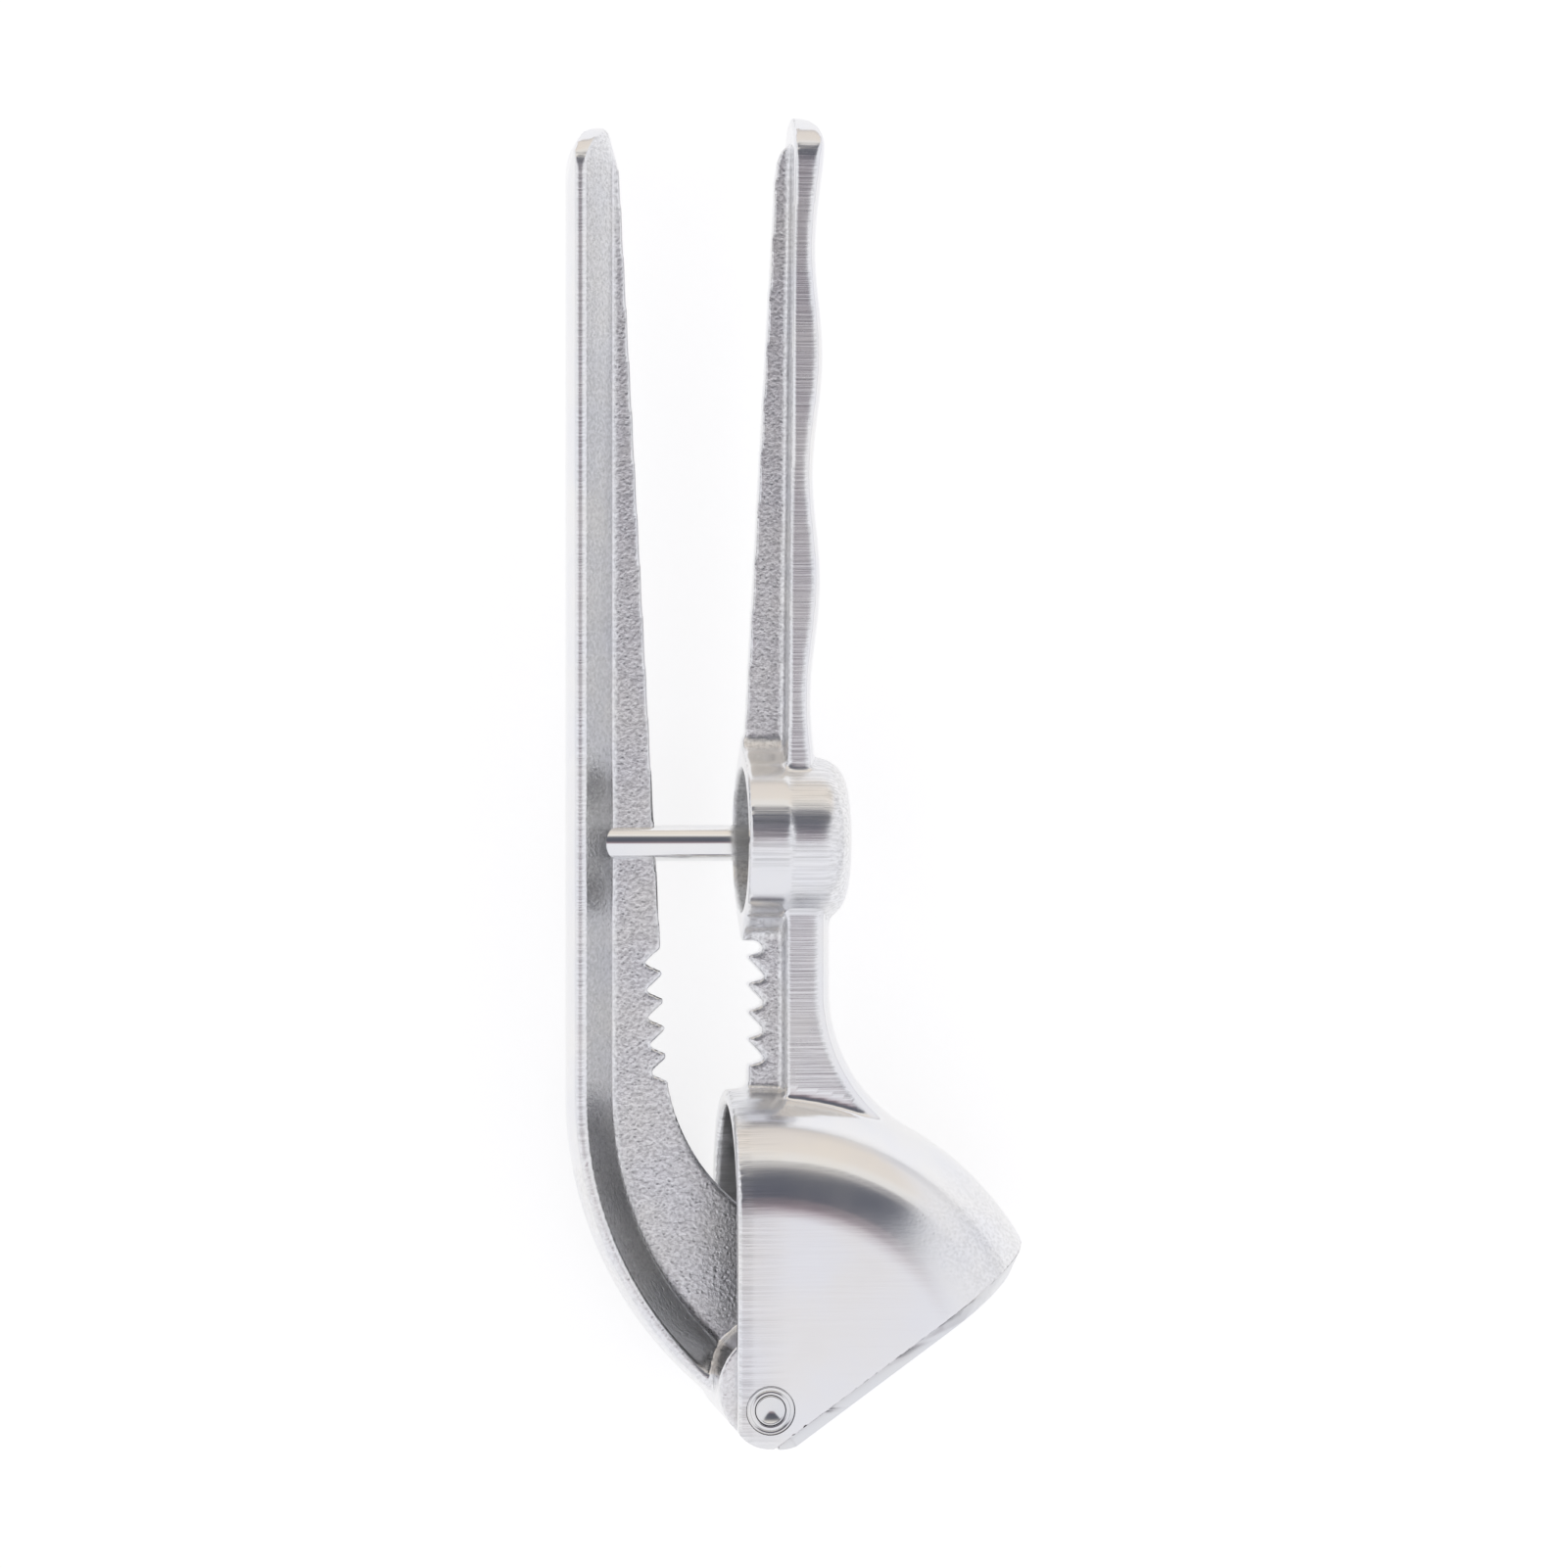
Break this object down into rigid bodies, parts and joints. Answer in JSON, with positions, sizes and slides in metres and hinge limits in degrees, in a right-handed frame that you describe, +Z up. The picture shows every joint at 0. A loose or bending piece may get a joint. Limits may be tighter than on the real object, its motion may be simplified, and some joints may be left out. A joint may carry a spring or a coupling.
{
  "type": "garlic press",
  "caption": "Cast aluminium garlic press with a fan-shaped hopper, nutcracker teeth between its arms, and a pin and cup for stoning olives or cherries.",
  "frame": {"origin": "middle of the underside of the press as it lies on its side, half closed", "axes": "+Y along the handles away from the rivet, +Z up along the rivet's axis, +X from the plunger arm towards the hopper arm"},
  "size_m": [0.0654, 0.188, 0.034],
  "materials": {
    "cast_aluminium": "tumbled casting, satin with polished backs and ground edges",
    "sieve_aluminium": "satin sheet",
    "pin_steel": "polished steel",
    "rivet_steel": "peened bright steel"
  },
  "bodies": {
    "hopper_side": {"hopper_arm": "cast_aluminium", "sieve_plate": "sieve_aluminium", "pivot_rivet": "rivet_steel", "rivet_washer": "rivet_steel"},
    "plunger_side": {"plunger_arm": "cast_aluminium", "stoning_pin": "pin_steel"}
  },
  "joints": [
    {"name": "squeeze", "type": "hinge", "parent": "hopper_side", "child": "plunger_side", "pos_m": [-0.00539, -0.08853, 0.017], "axis": [0, 0, 1], "range_deg": [-6.5, 110]}
  ]
}
